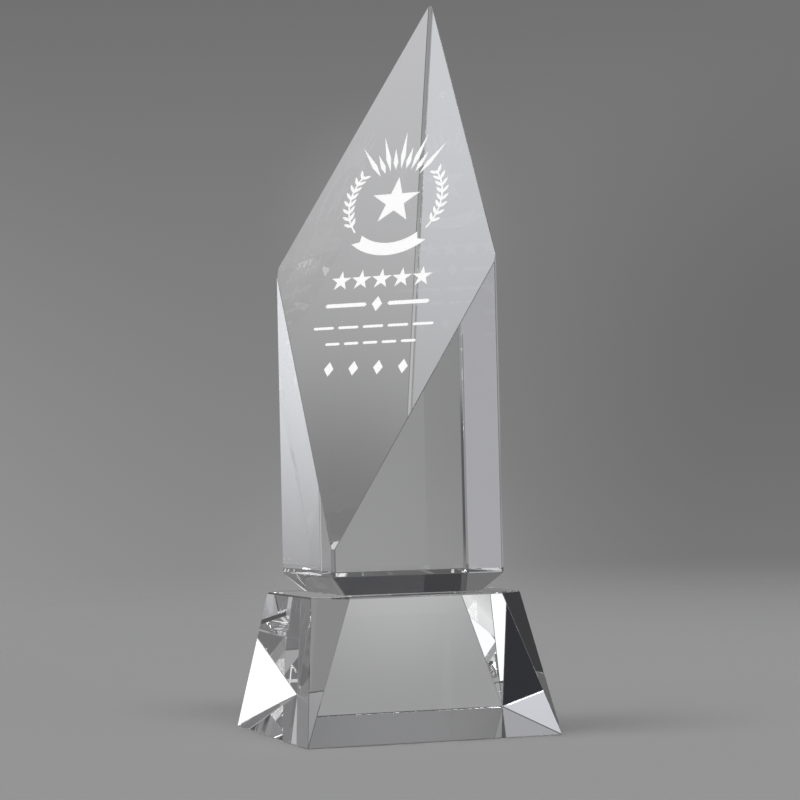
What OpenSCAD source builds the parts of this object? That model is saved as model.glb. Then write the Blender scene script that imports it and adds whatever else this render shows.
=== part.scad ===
// Faceted crystal award: a square column with one long slanted facet, bonded
// to a tapered crystal base, with a white paint-filled engraving on the facet.
// Millimetres, +Z up, origin at the centre of the underside of the base.
// The lowest corner of the slanted facet points towards -X and -Y.

/* [Overall] */
// Height from the table to the tip
total_h = 270; // [230:1:330]

/* [Base] */
// Height of the base block
base_h = 50; // [40:1:60]
// Side of the square underside of the base
base_foot_w = 92.5; // [88:0.5:110]
// Side of the square top of the base, measured flat to flat
base_top_w = 77; // [74:0.5:86]
// Length cut off each side of the top square where a corner facet meets it
base_corner_cut = 10.5; // [6:0.5:14]

/* [Column] */
// Side of the square column
column_w = 63.5; // [58:0.5:68]
// Height of the lowest corner of the slanted facet above the table
facet_low_h = 66.5; // [64:0.5:90]
// Width of the narrow flat polished on each upright edge, along each face
edge_flat = 1; // [0.5:0.1:2]
// How far the foot of the column is cut in on each side
foot_inset = 6.5; // [4:0.5:8]
// Height of the sloped cut at the foot of the column
foot_bevel_h = 6.7; // [4:0.1:7.5]

/* [Adhesive] */
// Thickness of the clear bond between base and column
bond_t = 0.2; // [0.1:0.05:0.4]

/* [Engraving] */
// Depth of the blasted pockets that hold the white paint
pocket_depth = 0.35; // [0.2:0.05:0.6]
// Height that the cured paint stands above the facet
paint_proud = 0.05; // [0.02:0.01:0.1]
// Height of the wreath centre above the facet centre
wreath_y = 26; // [20:0.5:30]
// Radius of the laurel stems
wreath_r = 18.8; // [16:0.2:20]
// Pairs of leaves on each laurel branch
leaf_pairs = 8; // [5:1:9]
// Length of one laurel leaf
leaf_len = 3.9; // [2.5:0.1:4]
// Width of one laurel leaf
leaf_w = 1.2; // [0.8:0.1:2]
// Outer radius of the star in the wreath
star_r = 10; // [7:0.5:11]
// Height of the ribbon band
ribbon_h = 5; // [3:0.5:6]
// Half of the angle that the ribbon spans
ribbon_half_angle = 37; // [30:1:42]
// Number of rays above the star
ray_count = 9; // [5:2:11]
// Number of small stars in the row under the ribbon
row_stars = 5; // [3:1:5]
// Number of lozenges in the bottom row
row_lozenges = 4; // [3:1:5]

/* [Hidden] */

// Larger than the award in every direction, for the cutting blocks
big = 3 * total_h;

// Base: half widths and the tilt of its side and corner facets
base_foot_r = base_foot_w / 2;
base_top_r = base_top_w / 2;
base_side_tilt = atan((base_foot_r - base_top_r) / base_h);
base_corner_foot = base_foot_r * sqrt(2);
base_corner_top = (base_top_r - base_corner_cut / 2) * sqrt(2);
base_corner_tilt = atan((base_corner_foot - base_corner_top) / base_h);

// Column: where it starts, and its half width
column_z = base_h + bond_t;
column_r = column_w / 2;
foot_w = column_w - 2 * foot_inset;
foot_tilt = atan(foot_inset / foot_bevel_h);
// Distance from the axis to the narrow flat on an upright edge
edge_flat_r = (column_r - edge_flat / 2) * sqrt(2);

// Slanted facet: it runs from the flat on the near left edge at facet_low_h
// to the flat on the far right edge at the tip, and is level from left to right
facet_mid_h = (facet_low_h + total_h) / 2;
facet_tilt = atan(2 * edge_flat_r / (total_h - facet_low_h));
facet_turn = -45;

// Engraving details, in the plane of the facet
laurel_start = -40;
laurel_end = 38;
stem_w = 0.6;
leaf_splay = 40;
leaf_steps = 6;
arc_step = 3;
star_inner_ratio = 0.382;
ray_inner_r = 13.5;
ray_long_r = 29;
ray_short_r = 22.5;
ray_w = 1.9;
ray_pitch = 9;
ray_waist = 0.35;
ribbon_centre_y = 27.4;
ribbon_inner_r = 18.7;
ribbon_flare = 4;
ribbon_notch = 3.5;
star_row_y = -6;
star_row_pitch = 8.2;
star_row_r = 4.1;
title_y = -16;
title_half_w = 21;
title_rule_h = 1.5;
title_gap = 4.2;
title_lozenge_h = 6;
detail_y = [-25, -31.5];
detail_half_w = [25, 19];
detail_rule_h = 1;
detail_dash_gap = 1.6;
detail_dashes = 5;
lozenge_row_y = -41.5;
lozenge_pitch = 9.9;
lozenge_h = 5.6;
lozenge_slim = 0.68;

// Points of a circular arc about the origin, at even steps
function arc(r, a0, a1) =
    let (n = ceil(abs(a1 - a0) / arc_step))
    [for (i = [0:n]) let (a = a0 + (a1 - a0) * i / n) [r * cos(a), r * sin(a)]];

// Outline of a leaf that grows from the origin along +X
function leaf_outline(len, w) = concat(
    [for (i = [0:leaf_steps]) [len * i / leaf_steps, w / 2 * sin(180 * i / leaf_steps)]],
    [for (i = [leaf_steps - 1:-1:1]) [len * i / leaf_steps, -w / 2 * sin(180 * i / leaf_steps)]]
);

// Everything on the outer side of an upright plane at distance r from the
// axis, facing the direction turn, leaning in by tilt above the height z
module outside(turn, r, tilt, z) {
    rotate([0, 0, turn])
        translate([r, 0, z])
            rotate([0, -tilt, 0])
                translate([0, -big / 2, -big / 2])
                    cube(big);
}

// A child drawn in XY comes to lie on the slanted facet, with +Z outwards
module on_facet() {
    translate([0, 0, facet_mid_h])
        rotate([0, 0, facet_turn])
            rotate([90 - facet_tilt, 0, 0])
                children();
}

// Pocket for a flat pattern: it breaks through the surface of the facet
module pocket() {
    on_facet()
        translate([0, 0, -pocket_depth])
            linear_extrude(height = 2 * pocket_depth)
                children();
}

// Paint that fills such a pocket and stands just proud of the facet
module paint() {
    color("white")
        on_facet()
            translate([0, 0, -pocket_depth])
                linear_extrude(height = pocket_depth + paint_proud)
                    children();
}

// Star with one point up, centred on the origin
module star_2d(r) {
    polygon([for (i = [0:9])
        let (a = 90 + 36 * i, d = i % 2 == 0 ? r : r * star_inner_ratio)
        [d * cos(a), d * sin(a)]]);
}

// Upright lozenge centred on the origin
module lozenge_2d(h) {
    w = h * lozenge_slim;
    polygon([[0, -h / 2], [w / 2, 0], [0, h / 2], [-w / 2, 0]]);
}

// Flat bar centred on the origin, with both ends cut to a point
module rule_2d(half_w, h) {
    polygon([
        [-half_w, 0], [-half_w + h / 2, -h / 2], [half_w - h / 2, -h / 2],
        [half_w, 0], [half_w - h / 2, h / 2], [-half_w + h / 2, h / 2]
    ]);
}

// Laurel branch on the right of the wreath, growing upwards
module laurel_2d() {
    stem_in = wreath_r - stem_w / 2;
    stem_out = wreath_r + stem_w / 2;
    pair_angle = (laurel_end - laurel_start) / (leaf_pairs + 0.5);
    translate([0, wreath_y]) {
        polygon(concat(
            arc(stem_in, laurel_start, laurel_end),
            arc(stem_out, laurel_end, laurel_start)
        ));
        for (i = [1:leaf_pairs])
            for (side = [-1, 1])
                rotate([0, 0, laurel_start + i * pair_angle])
                    translate([wreath_r, 0])
                        rotate([0, 0, 90 + side * leaf_splay])
                            polygon(leaf_outline(leaf_len, leaf_w));
    }
}

module star_main_2d() {
    translate([0, wreath_y])
        star_2d(star_r);
}

// Fan of slim rays above the star, long and short in turn
module rays_2d() {
    for (i = [0:ray_count - 1]) {
        step = i - (ray_count - 1) / 2;
        tip = step % 2 == 0 ? ray_long_r : ray_short_r;
        waist = ray_inner_r + (tip - ray_inner_r) * ray_waist;
        translate([0, wreath_y])
            rotate([0, 0, step * ray_pitch])
                polygon([[0, ray_inner_r], [ray_w / 2, waist], [0, tip], [-ray_w / 2, waist]]);
    }
}

// Curved ribbon under the wreath, with a notch in each end
module ribbon_2d() {
    outer_r = ribbon_inner_r + ribbon_h;
    mid_r = ribbon_inner_r + ribbon_h / 2;
    inner_a = ribbon_half_angle;
    outer_a = ribbon_half_angle + ribbon_flare - ribbon_notch / 2;
    notch_a = ribbon_half_angle - ribbon_notch;
    translate([0, ribbon_centre_y])
        rotate([0, 0, -90])
            polygon(concat(
                arc(ribbon_inner_r, -inner_a, inner_a),
                [[mid_r * cos(notch_a), mid_r * sin(notch_a)]],
                arc(outer_r, outer_a, -outer_a),
                [[mid_r * cos(notch_a), -mid_r * sin(notch_a)]]
            ));
}

module star_row_2d() {
    for (i = [0:row_stars - 1])
        translate([(i - (row_stars - 1) / 2) * star_row_pitch, star_row_y])
            star_2d(star_row_r);
}

// Rule in two halves with a lozenge between them
module title_rule_2d() {
    half = (title_half_w - title_gap) / 2;
    translate([0, title_y]) {
        lozenge_2d(title_lozenge_h);
        for (side = [-1, 1])
            translate([side * (title_gap + half), 0])
                rule_2d(half, title_rule_h);
    }
}

// Two dashed lines, the lower one shorter
module detail_rules_2d() {
    for (row = [0, 1]) {
        pitch = 2 * detail_half_w[row] / detail_dashes;
        for (i = [0:detail_dashes - 1])
            translate([(i - (detail_dashes - 1) / 2) * pitch, detail_y[row]])
                rule_2d((pitch - detail_dash_gap) / 2, detail_rule_h);
    }
}

module lozenge_row_2d() {
    for (i = [0:row_lozenges - 1])
        translate([(i - (row_lozenges - 1) / 2) * lozenge_pitch, lozenge_row_y])
            lozenge_2d(lozenge_h);
}

// Base block: four leaning sides and four three-cornered facets whose points
// meet the corners of the underside
module base() {
    color([0.86, 0.89, 0.92, 0.45])
        difference() {
            translate([-base_foot_r, -base_foot_r, 0])
                cube([base_foot_w, base_foot_w, base_h]);
            for (turn = [0:90:270]) {
                outside(turn, base_foot_r, base_side_tilt, 0);
                outside(turn + 45, base_corner_foot, base_corner_tilt, 0);
            }
        }
}

// Clear adhesive that joins the foot of the column to the top of the base
module bond_film() {
    color([0.95, 0.96, 0.9, 0.5])
        translate([-foot_w / 2, -foot_w / 2, base_h])
            cube([foot_w, foot_w, bond_t]);
}

// Column blank with its foot cut in, its upright edges flatted and its top
// taken off by one slanted plane
module column_blank() {
    difference() {
        translate([-column_r, -column_r, column_z])
            cube([column_w, column_w, total_h]);
        for (turn = [0:90:270]) {
            outside(turn + 45, edge_flat_r, 0, 0);
            outside(turn, column_r - foot_inset, -foot_tilt, column_z);
        }
        on_facet()
            translate([-big / 2, -big / 2, 0])
                cube(big);
    }
}

module column() {
    color([0.84, 0.88, 0.92, 0.4])
        difference() {
            column_blank();
            pocket() star_main_2d();
            pocket() rays_2d();
            pocket() laurel_2d();
            pocket() mirror([1, 0, 0]) laurel_2d();
            pocket() ribbon_2d();
            pocket() star_row_2d();
            pocket() title_rule_2d();
            pocket() detail_rules_2d();
            pocket() lozenge_row_2d();
        }
}

module star_fill() {
    paint() star_main_2d();
}

module rays_fill() {
    paint() rays_2d();
}

module laurel_left_fill() {
    paint() mirror([1, 0, 0]) laurel_2d();
}

module laurel_right_fill() {
    paint() laurel_2d();
}

module ribbon_fill() {
    paint() ribbon_2d();
}

module star_row_fill() {
    paint() star_row_2d();
}

module title_rule_fill() {
    paint() title_rule_2d();
}

module detail_rules_fill() {
    paint() detail_rules_2d();
}

module lozenge_row_fill() {
    paint() lozenge_row_2d();
}

base();
bond_film();
column();
star_fill();
rays_fill();
laurel_left_fill();
laurel_right_fill();
ribbon_fill();
star_row_fill();
title_rule_fill();
detail_rules_fill();
lozenge_row_fill();
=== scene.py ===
"""Crystal award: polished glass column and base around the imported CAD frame.

Everything is in metres, in the frame of the CAD model.
"""

import itertools
import math

import bmesh
import bpy
import numpy as np
from mathutils import Matrix, Vector


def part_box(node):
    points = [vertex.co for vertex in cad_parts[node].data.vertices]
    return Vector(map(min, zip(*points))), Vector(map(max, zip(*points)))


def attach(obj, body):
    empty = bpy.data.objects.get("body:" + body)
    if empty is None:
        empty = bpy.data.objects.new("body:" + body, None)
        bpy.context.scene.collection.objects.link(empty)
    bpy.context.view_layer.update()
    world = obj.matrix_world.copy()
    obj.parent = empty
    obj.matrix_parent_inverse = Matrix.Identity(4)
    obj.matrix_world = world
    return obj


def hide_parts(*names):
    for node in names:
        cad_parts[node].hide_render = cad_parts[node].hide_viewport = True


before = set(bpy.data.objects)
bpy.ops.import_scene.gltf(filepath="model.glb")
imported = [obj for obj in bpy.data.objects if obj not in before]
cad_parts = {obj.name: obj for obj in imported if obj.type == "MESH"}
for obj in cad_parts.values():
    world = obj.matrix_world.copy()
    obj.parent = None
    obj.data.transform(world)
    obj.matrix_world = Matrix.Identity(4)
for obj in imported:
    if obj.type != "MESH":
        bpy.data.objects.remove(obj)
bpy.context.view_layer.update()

MM = 0.001
TOUCH = 1e-7          # metres: two points closer than this are the same
NEAR = 1e-5           # metres: two levels closer than this are the same
FLUSH = 2e-6          # metres: how far a corner may stand past its own plane
SLIVER = 1e-10        # square metres: a smaller face gives no plane
PARALLEL = 0.99999    # cosine above which two planes are the same
SAME_WAY = 0.999      # cosine above which two directions count as one
CRYSTAL_INDEX = 1.545
CRYSTAL, BONDED, GROUND = range(3)    # material slots of a crystal piece

# ---------------------------------------------------------------- solids


def outer_planes(node):
    """The planes that bound a convex CAD node, as rows (nx, ny, nz, offset)."""
    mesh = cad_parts[node].data
    points = np.array([v.co for v in mesh.vertices], float)
    found = []
    for polygon in mesh.polygons:
        corners = points[list(polygon.vertices)]
        normal = np.cross(corners[1] - corners[0], corners[2] - corners[0])
        size = np.linalg.norm(normal)
        if size < SLIVER:
            continue
        normal /= size
        offset = float(normal @ corners[0])
        if (points @ normal).max() > offset + FLUSH:
            continue
        if all(normal @ other[:3] < PARALLEL for other in found):
            found.append(np.array([*normal, offset]))
    return np.array(found)


def plane_corners(planes):
    """The corners of the convex solid, each with the set of planes it lies on."""
    corners = []
    for trio in itertools.combinations(range(len(planes)), 3):
        rows = planes[list(trio)]
        if abs(np.linalg.det(rows[:, :3])) < 1e-6:
            continue
        point = np.linalg.solve(rows[:, :3], rows[:, 3])
        if (planes[:, :3] @ point > planes[:, 3] + TOUCH).any():
            continue
        for known in corners:
            if np.linalg.norm(known - point) < 3 * TOUCH:
                break
        else:
            corners.append(point)
    gap = np.abs(np.array(corners) @ planes[:, :3].T - planes[:, 3])
    return np.array(corners), gap < 5 * TOUCH


def with_chamfers(planes, width, top_width=None, kept_normal=None):
    """Adds a narrow flat on every sharp edge, save those of the face kept_normal.

    The edges of the top face get top_width instead, where it is given.
    """
    corners, on = plane_corners(planes)
    added = []
    for a, b in itertools.combinations(range(len(planes)), 2):
        shared = corners[on[:, a] & on[:, b]]
        if len(shared) < 2:
            continue
        na, nb = planes[a, :3], planes[b, :3]
        if kept_normal is not None and (
            na @ kept_normal > SAME_WAY or nb @ kept_normal > SAME_WAY
        ):
            continue
        turn = math.acos(float(np.clip(na @ nb, -1, 1)))
        middle = (na + nb) / np.linalg.norm(na + nb)
        at_top = max(na[2], nb[2]) > SAME_WAY
        flat = top_width if top_width is not None and at_top else width
        depth = flat * math.tan(turn / 2) / 2
        added.append(np.array([*middle, float(middle @ shared[0]) - depth]))
    return np.vstack([planes, added])


def solid(name, planes, edge_from=None, cuts=()):
    """A closed flat-faced mesh object from its planes.

    Planes from number edge_from on are ground edges. cuts are (height, point,
    normal): the level face at that height is split there.
    """
    corners, on = plane_corners(planes)
    work = bmesh.new()
    verts = [work.verts.new(corner) for corner in corners]
    for k, plane in enumerate(planes):
        ring = np.nonzero(on[:, k])[0]
        if len(ring) < 3:
            continue
        normal = Vector(plane[:3])
        across = normal.orthogonal().normalized()
        up = normal.cross(across)
        spokes = [Vector(spoke) for spoke in corners[ring] - corners[ring].mean(0)]
        turns = [math.atan2(spoke.dot(up), spoke.dot(across)) for spoke in spokes]
        face = work.faces.new([verts[ring[i]] for i in np.argsort(turns)])
        if edge_from is not None and k >= edge_from:
            face.material_index = GROUND
    for height, point, normal in cuts:
        level = [
            f for f in work.faces
            if abs(f.normal.z) > SAME_WAY
            and abs(f.calc_center_median().z - height) < NEAR
        ]
        parts = set(level)
        for face in level:
            parts.update(face.edges)
            parts.update(face.verts)
        bmesh.ops.bisect_plane(
            work, geom=list(parts), dist=1e-8, plane_co=point, plane_no=normal
        )
        work.normal_update()
    bmesh.ops.recalc_face_normals(work, faces=work.faces)
    mesh = bpy.data.meshes.new(name)
    work.to_mesh(mesh)
    work.free()
    made = bpy.data.objects.new(name, mesh)
    bpy.context.scene.collection.objects.link(made)
    return made


# -------------------------------------------------------------- materials


class Nodes:
    """Small helper round one node tree."""

    def __init__(self, tree):
        self.tree = tree
        tree.nodes.clear()

    def add(self, kind, **settings):
        node = self.tree.nodes.new(kind)
        for key, value in settings.items():
            setattr(node, key, value)
        return node

    def join(self, source, target):
        self.tree.links.new(source, target)

    def value(self, target, source):
        """Links source to target, or sets it where source is a plain value."""
        if isinstance(source, bpy.types.NodeSocket):
            self.join(source, target)
        else:
            target.default_value = source

    def math(self, operation, *inputs):
        node = self.add("ShaderNodeMath", operation=operation)
        for socket, source in zip(node.inputs, inputs):
            self.value(socket, source)
        return node.outputs[0]

    def remap(self, source, low, high, to_low, to_high, curve="SMOOTHSTEP"):
        node = self.add("ShaderNodeMapRange", interpolation_type=curve)
        for name, entry in (
            ("Value", source), ("From Min", low), ("From Max", high),
            ("To Min", to_low), ("To Max", to_high),
        ):
            self.value(node.inputs[name], entry)
        return node.outputs[0]

    def noise(self, vector, scale, detail=2.0, roughness=0.5):
        node = self.add("ShaderNodeTexNoise")
        self.value(node.inputs["Vector"], vector)
        node.inputs["Scale"].default_value = scale
        node.inputs["Detail"].default_value = detail
        node.inputs["Roughness"].default_value = roughness
        return node.outputs[0]

    def object_point(self):
        return self.add("ShaderNodeTexCoord").outputs["Object"]


def new_material(name):
    material = bpy.data.materials.new(name)
    material.use_nodes = True
    return material, Nodes(material.node_tree)


def principled_material(name, **numbers):
    """A material of one Principled shader, with plain numbers on its sockets."""
    material, nodes = new_material(name)
    out = nodes.add("ShaderNodeOutputMaterial")
    shader = nodes.add("ShaderNodeBsdfPrincipled")
    nodes.join(shader.outputs[0], out.inputs["Surface"])
    for socket, number in numbers.items():
        shader.inputs[socket.replace("_", " ")].default_value = number
    return material, nodes, shader


def glass_material(name, tint, haze, ripple):
    """Clear polished crystal with a faint polishing ripple."""
    material, nodes, shader = principled_material(
        name, Base_Color=(*tint, 1), IOR=CRYSTAL_INDEX, Transmission_Weight=1.0
    )
    point = nodes.object_point()
    polish = nodes.noise(point, 90.0, 3.0)
    nodes.join(
        nodes.remap(polish, 0.35, 0.75, 0.0, haze), shader.inputs["Roughness"]
    )
    bump = nodes.add("ShaderNodeBump")
    bump.inputs["Strength"].default_value = ripple
    bump.inputs["Distance"].default_value = 0.0002
    nodes.join(nodes.noise(point, 28.0, 1.0), bump.inputs["Height"])
    nodes.join(bump.outputs[0], shader.inputs["Normal"])
    return material


def edge_material(name):
    """The fine flats ground along the edges: not quite clear, a little darker."""
    material, nodes, shader = principled_material(
        name,
        Base_Color=(0.50, 0.505, 0.515, 1),
        IOR=CRYSTAL_INDEX,
        Transmission_Weight=1.0,
    )
    grind = nodes.noise(nodes.object_point(), 900.0, 3.0, 0.6)
    nodes.join(
        nodes.remap(grind, 0.35, 0.7, 0.02, 0.14), shader.inputs["Roughness"]
    )
    return material


def joint_material(name):
    """The bonded faces: the adhesive has the crystal's index, so light passes."""
    return principled_material(name, Alpha=0.0)[0]


def paint_material(name):
    """White paint cured in a blasted pocket: matt, finely grained.

    Its emission is a painted glow that stands for what the thin layer scatters through.
    """
    # painted glow: Emission_Strength 0.5 makes the paint shine white from every side, lit or not
    material, nodes, shader = principled_material(
        name, Emission_Color=(1, 1, 1, 1), Emission_Strength=0.5
    )
    point = nodes.object_point()
    grain = nodes.noise(point, 2600.0, 4.0, 0.6)
    cloud = nodes.noise(point, 220.0, 2.0)
    ramp = nodes.add("ShaderNodeMix", data_type="RGBA")
    nodes.join(
        nodes.math("MULTIPLY_ADD", grain, 0.6, nodes.math("MULTIPLY", cloud, 0.4)),
        ramp.inputs["Factor"],
    )
    ramp.inputs[6].default_value = (0.86, 0.865, 0.87, 1)
    ramp.inputs[7].default_value = (0.98, 0.98, 0.975, 1)
    nodes.join(ramp.outputs[2], shader.inputs["Base Color"])
    nodes.join(
        nodes.remap(grain, 0.3, 0.7, 0.45, 0.75), shader.inputs["Roughness"]
    )
    bump = nodes.add("ShaderNodeBump")
    bump.inputs["Strength"].default_value = 0.5
    bump.inputs["Distance"].default_value = 0.00006
    nodes.join(grain, bump.inputs["Height"])
    nodes.join(bump.outputs[0], shader.inputs["Normal"])
    return material


# ------------------------------------------------------------- the award

CHAMFER, TOP_CHAMFER = 0.32 * MM, 0.85 * MM
column_glass = glass_material("column_crystal", (0.990, 0.991, 0.998), 0.004, 0.01)
base_glass = glass_material("base_crystal", (0.990, 0.991, 0.998), 0.004, 0.01)
film_glass = glass_material("clear_bond", (0.97, 0.98, 0.98), 0.12, 0.2)
ground_edge = edge_material("ground_edge")
bonded = joint_material("bonded_face")
white_paint = paint_material("white_engraving")

film_low, film_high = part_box("bond_film")
foot_z, top_z = film_high.z, film_low.z


def give_materials(piece, main, bond_heights):
    """Fills the slots, and marks the faces glued to a neighbour at these heights."""
    for material in (main, bonded, ground_edge):
        piece.data.materials.append(material)
    for polygon in piece.data.polygons:
        centre = polygon.center
        inside = (
            film_low.x < centre.x < film_high.x
            and film_low.y < centre.y < film_high.y
        )
        level = abs(polygon.normal.z) > SAME_WAY
        if inside and level and any(abs(centre.z - h) < NEAR for h in bond_heights):
            polygon.material_index = BONDED


DOWN = np.array([0, 0, -1.0])
column_planes = outer_planes("column")
column = solid(
    "crystal_column",
    with_chamfers(column_planes, CHAMFER, kept_normal=DOWN),
    len(column_planes),
)
give_materials(column, column_glass, [foot_z])

base_planes = outer_planes("base")
base = solid(
    "crystal_base",
    with_chamfers(base_planes, CHAMFER, TOP_CHAMFER),
    len(base_planes),
    [
        (top_z, (corner.x, corner.y, top_z), normal)
        for normal in ((1, 0, 0), (0, 1, 0))
        for corner in (film_low, film_high)
    ],
)
give_materials(base, base_glass, [top_z])

film = solid("bond_plate", outer_planes("bond_film"))
give_materials(film, film_glass, [top_z, foot_z])

for piece, node, slot in (
    (column, "column", "column_crystal"),
    (base, "base", "base_crystal"),
    (film, "bond_film", "clear_adhesive"),
):
    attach(piece, "root")
    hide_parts(node)

for node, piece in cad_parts.items():
    if node.endswith("_fill"):
        piece.data.materials.clear()
        piece.data.materials.append(white_paint)

# ------------------------------------------------------------- the studio


def direction(azimuth, elevation):
    """Unit vector: azimuth from +Y towards +X, elevation above the horizon."""
    a, e = math.radians(azimuth), math.radians(elevation)
    return (math.sin(a) * math.cos(e), math.cos(a) * math.cos(e), math.sin(e))


# Background level against the sine of elevation
SKY = (
    (-1.0, 0.36), (-0.34, 0.36), (-0.17, 0.33), (-0.08, 0.285), (0.0, 0.24),
    (0.10, 0.205), (0.19, 0.17), (0.30, 0.11), (0.45, 0.075), (0.62, 0.10),
    (1.0, 0.25),
)
# Soft lights and, where negative, dark cards, each with what shows it:
# azimuth, elevation, full inside, nothing outside (degrees), colour
LIGHTS = (
    (161, 13, 9, 17, (0.86, 0.875, 0.91)),          # the column's left side, the base's white left facet
    (156, 22, 3, 7, (0.55, 0.55, 0.55)),            # the same white facet
    (148, 16, 4, 11, (1.25, 1.25, 1.25)),           # small fill behind the camera, on the right
    (160, 13, 3.5, 7, (-0.85, -0.85, -0.85)),       # dims the base's front faces
    (-74, 69, 5, 13, (6.0, 6.0, 6.0)),              # key, high on the left
    (167, 61, 5, 13, (6.5, 6.5, 6.5)),              # key, high behind the camera
    (-100, 86, 7, 16, (4.5, 4.5, 4.5)),             # overhead
    (-112, 55, 6, 13, (1.0, 1.0, 1.0)),             # the white wedge in the base's upper right corner
    (-49, 1, 5, 18, (0.35, 0.36, 0.385)),           # the facet's right half
    (48, 2, 5, 17, (0.28, 0.28, 0.29)),             # the facet's left half, most near the tip
    (-21, 3, 6, 12, (0.13, 0.13, 0.145)),           # the column's right strip
    (-19, 10, 2, 5.5, (0.40, 0.41, 0.44)),          # the base's pale lower right corner
    (-24, 28, 3, 9, (0.07, 0.07, 0.07)),            # the foot's right end
    (18, -2.5, 0.5, 4.5, (0.04, 0.04, 0.04)),       # the column's front, low down
    (19, -11.5, 0.5, 4, (0.17, 0.17, 0.17)),        # the base's front, high up
    (62, -31, 5, 15, (-0.272, -0.272, -0.272)),     # the dark streak in the base's left corner
    (46, -20, 4, 11, (-0.09, -0.09, -0.09)),        # the facet's lower half, the base's front left facet
    (46, -15.5, 1, 4.5, (-0.06, -0.06, -0.06)),     # the facet's low end only
    (-15, -25, 8, 14, (-0.335, -0.335, -0.332)),    # the base's dark right facets
    (22, 27, 5, 11, (-0.055, -0.055, -0.05)),       # the foot's dark front
    (29, -1, 3, 12, (-0.075, -0.075, -0.075)),      # background, right side
    (4, 0, 1, 12, (0.045, 0.045, 0.045)),           # background, left side
    (45.1, -1.6, 0.9, 2.4, (-0.3, -0.3, -0.3)),     # the front left edge flat
    (-11.6, 0, 1.5, 2.6, (-0.2, -0.2, -0.2)),       # the front right edge flat
    (18.4, 6, 0.5, 3.2, (0.045, 0.045, 0.045)),     # the base's lower band
)


def add_light(sky, unit, azimuth, elevation, inner, outer, colour):
    """One round soft-edged light in the sky, as a colour socket."""
    aim = sky.add("ShaderNodeVectorMath", operation="DOT_PRODUCT")
    sky.join(unit, aim.inputs[0])
    aim.inputs[1].default_value = direction(azimuth, elevation)
    angle = sky.math("ARCCOSINE", sky.math("MINIMUM", aim.outputs["Value"], 1.0))
    amount = sky.remap(
        angle, math.radians(inner), math.radians(outer), 1.0, 0.0
    )
    lamp = sky.add("ShaderNodeVectorMath", operation="SCALE")
    lamp.inputs[0].default_value = colour
    sky.join(amount, lamp.inputs["Scale"])
    return lamp.outputs[0]


def make_world():
    """The studio: a grey sky that follows SKY, with LIGHTS added to it."""
    world = bpy.data.worlds.new("studio")
    bpy.context.scene.world = world
    world.use_nodes = True
    sky = Nodes(world.node_tree)
    heading = sky.add("ShaderNodeTexCoord").outputs["Generated"]
    unit = sky.add("ShaderNodeVectorMath", operation="NORMALIZE")
    sky.join(heading, unit.inputs[0])
    split = sky.add("ShaderNodeSeparateXYZ")
    sky.join(unit.outputs[0], split.inputs[0])
    ramp = sky.add("ShaderNodeValToRGB")
    ramp.color_ramp.interpolation = "B_SPLINE"
    while len(ramp.color_ramp.elements) < len(SKY):
        ramp.color_ramp.elements.new(0.5)
    for element, (sine, level) in zip(ramp.color_ramp.elements, SKY):
        element.position = (sine + 1) / 2
        element.color = (level, level, level, 1)
    sky.join(sky.math("MULTIPLY_ADD", split.outputs[2], 0.5, 0.5), ramp.inputs[0])
    total = ramp.outputs[0]
    for light in LIGHTS:
        add = sky.add("ShaderNodeVectorMath", operation="ADD")
        sky.join(total, add.inputs[0])
        sky.join(add_light(sky, unit.outputs[0], *light), add.inputs[1])
        total = add.outputs[0]
    background = sky.add("ShaderNodeBackground")
    sky.join(total, background.inputs["Color"])
    out = sky.add("ShaderNodeOutputWorld")
    sky.join(background.outputs[0], out.inputs["Surface"])
    world.cycles.sampling_method = "MANUAL"
    world.cycles.sample_map_resolution = 512


make_world()

FLOOR_R, FADE_FROM, FADE_TO = 2.4, 0.25, 1.9
FLOOR_DROP = 0.15 * MM


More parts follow.
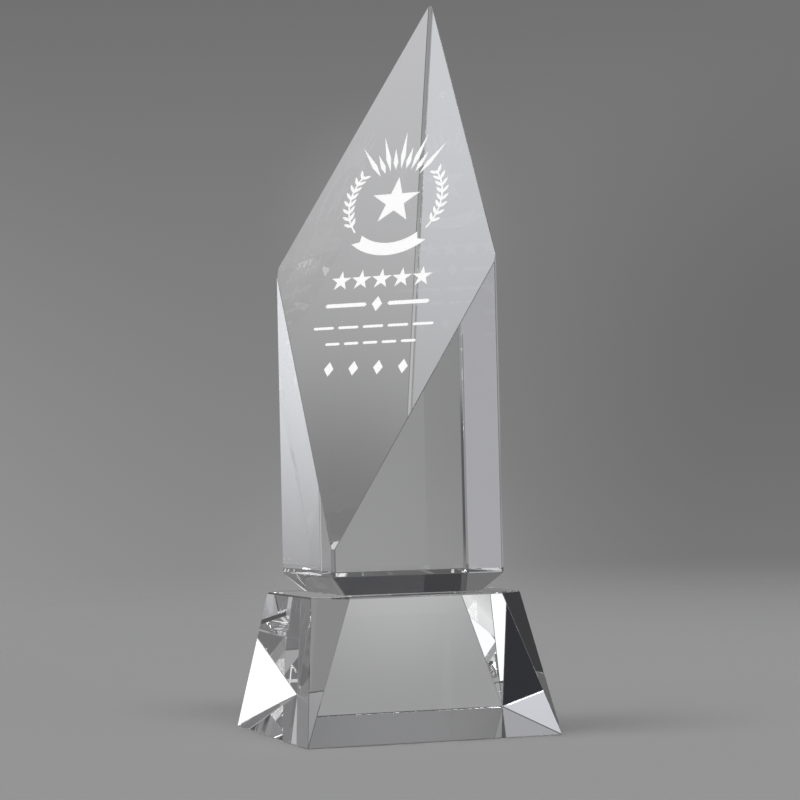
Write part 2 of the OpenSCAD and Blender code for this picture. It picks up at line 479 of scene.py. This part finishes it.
def floor_material(name):
    """Pale paper that fades into the background, so it shows no far edge."""
    material, nodes = new_material(name)
    out = nodes.add("ShaderNodeOutputMaterial")
    paper = nodes.add("ShaderNodeBsdfDiffuse")
    paper.inputs["Color"].default_value = (0.45, 0.45, 0.453, 1)
    clear = nodes.add("ShaderNodeBsdfTransparent")
    mix = nodes.add("ShaderNodeMixShader")
    reach = nodes.add("ShaderNodeVectorMath", operation="LENGTH")
    nodes.join(nodes.object_point(), reach.inputs[0])
    nodes.join(
        nodes.remap(reach.outputs["Value"], FADE_FROM, FADE_TO, 0.0, 1.0),
        mix.inputs[0],
    )
    nodes.join(paper.outputs[0], mix.inputs[1])
    nodes.join(clear.outputs[0], mix.inputs[2])
    nodes.join(mix.outputs[0], out.inputs["Surface"])
    return material


def make_floor():
    """A round floor, kept out of what the crystal refracts and mirrors."""
    ring = bmesh.new()
    bmesh.ops.create_circle(ring, cap_ends=True, radius=FLOOR_R, segments=96)
    mesh = bpy.data.meshes.new("floor")
    ring.to_mesh(mesh)
    ring.free()
    mesh.materials.append(floor_material("floor"))
    floor = bpy.data.objects.new("floor", mesh)
    floor.location.z = -FLOOR_DROP
    floor.visible_transmission = False
    floor.visible_glossy = False
    bpy.context.scene.collection.objects.link(floor)


make_floor()

# ------------------------------------------------------------- the camera

EYE = (-0.283580, -0.858679, 0.089387)
HEADING, TILT, ROLL = 18.5706, 1.8681, -1.3233    # degrees
camera_data = bpy.data.cameras.new("camera")
camera = bpy.data.objects.new("camera", camera_data)
bpy.context.scene.collection.objects.link(camera)
bpy.context.scene.camera = camera
camera_data.sensor_width = 36.0
camera_data.lens = 112.6
camera_data.clip_start = 0.05
camera_data.clip_end = 50.0
camera.matrix_world = (
    Matrix.Translation(EYE)
    @ Matrix.Rotation(math.radians(-HEADING), 4, "Z")
    @ Matrix.Rotation(math.radians(90 + TILT), 4, "X")
    @ Matrix.Rotation(math.radians(ROLL), 4, "Z")
)

# ------------------------------------------------- light paths and sizes

scene = bpy.context.scene
scene.view_settings.view_transform = "Standard"
scene.view_settings.look = "None"
scene.cycles.max_bounces = 28
scene.cycles.transmission_bounces = 28
scene.cycles.glossy_bounces = 16
scene.cycles.diffuse_bounces = 3
scene.cycles.transparent_max_bounces = 40
scene.cycles.caustics_refractive = True
scene.cycles.caustics_reflective = False
scene.cycles.blur_glossy = 0.2
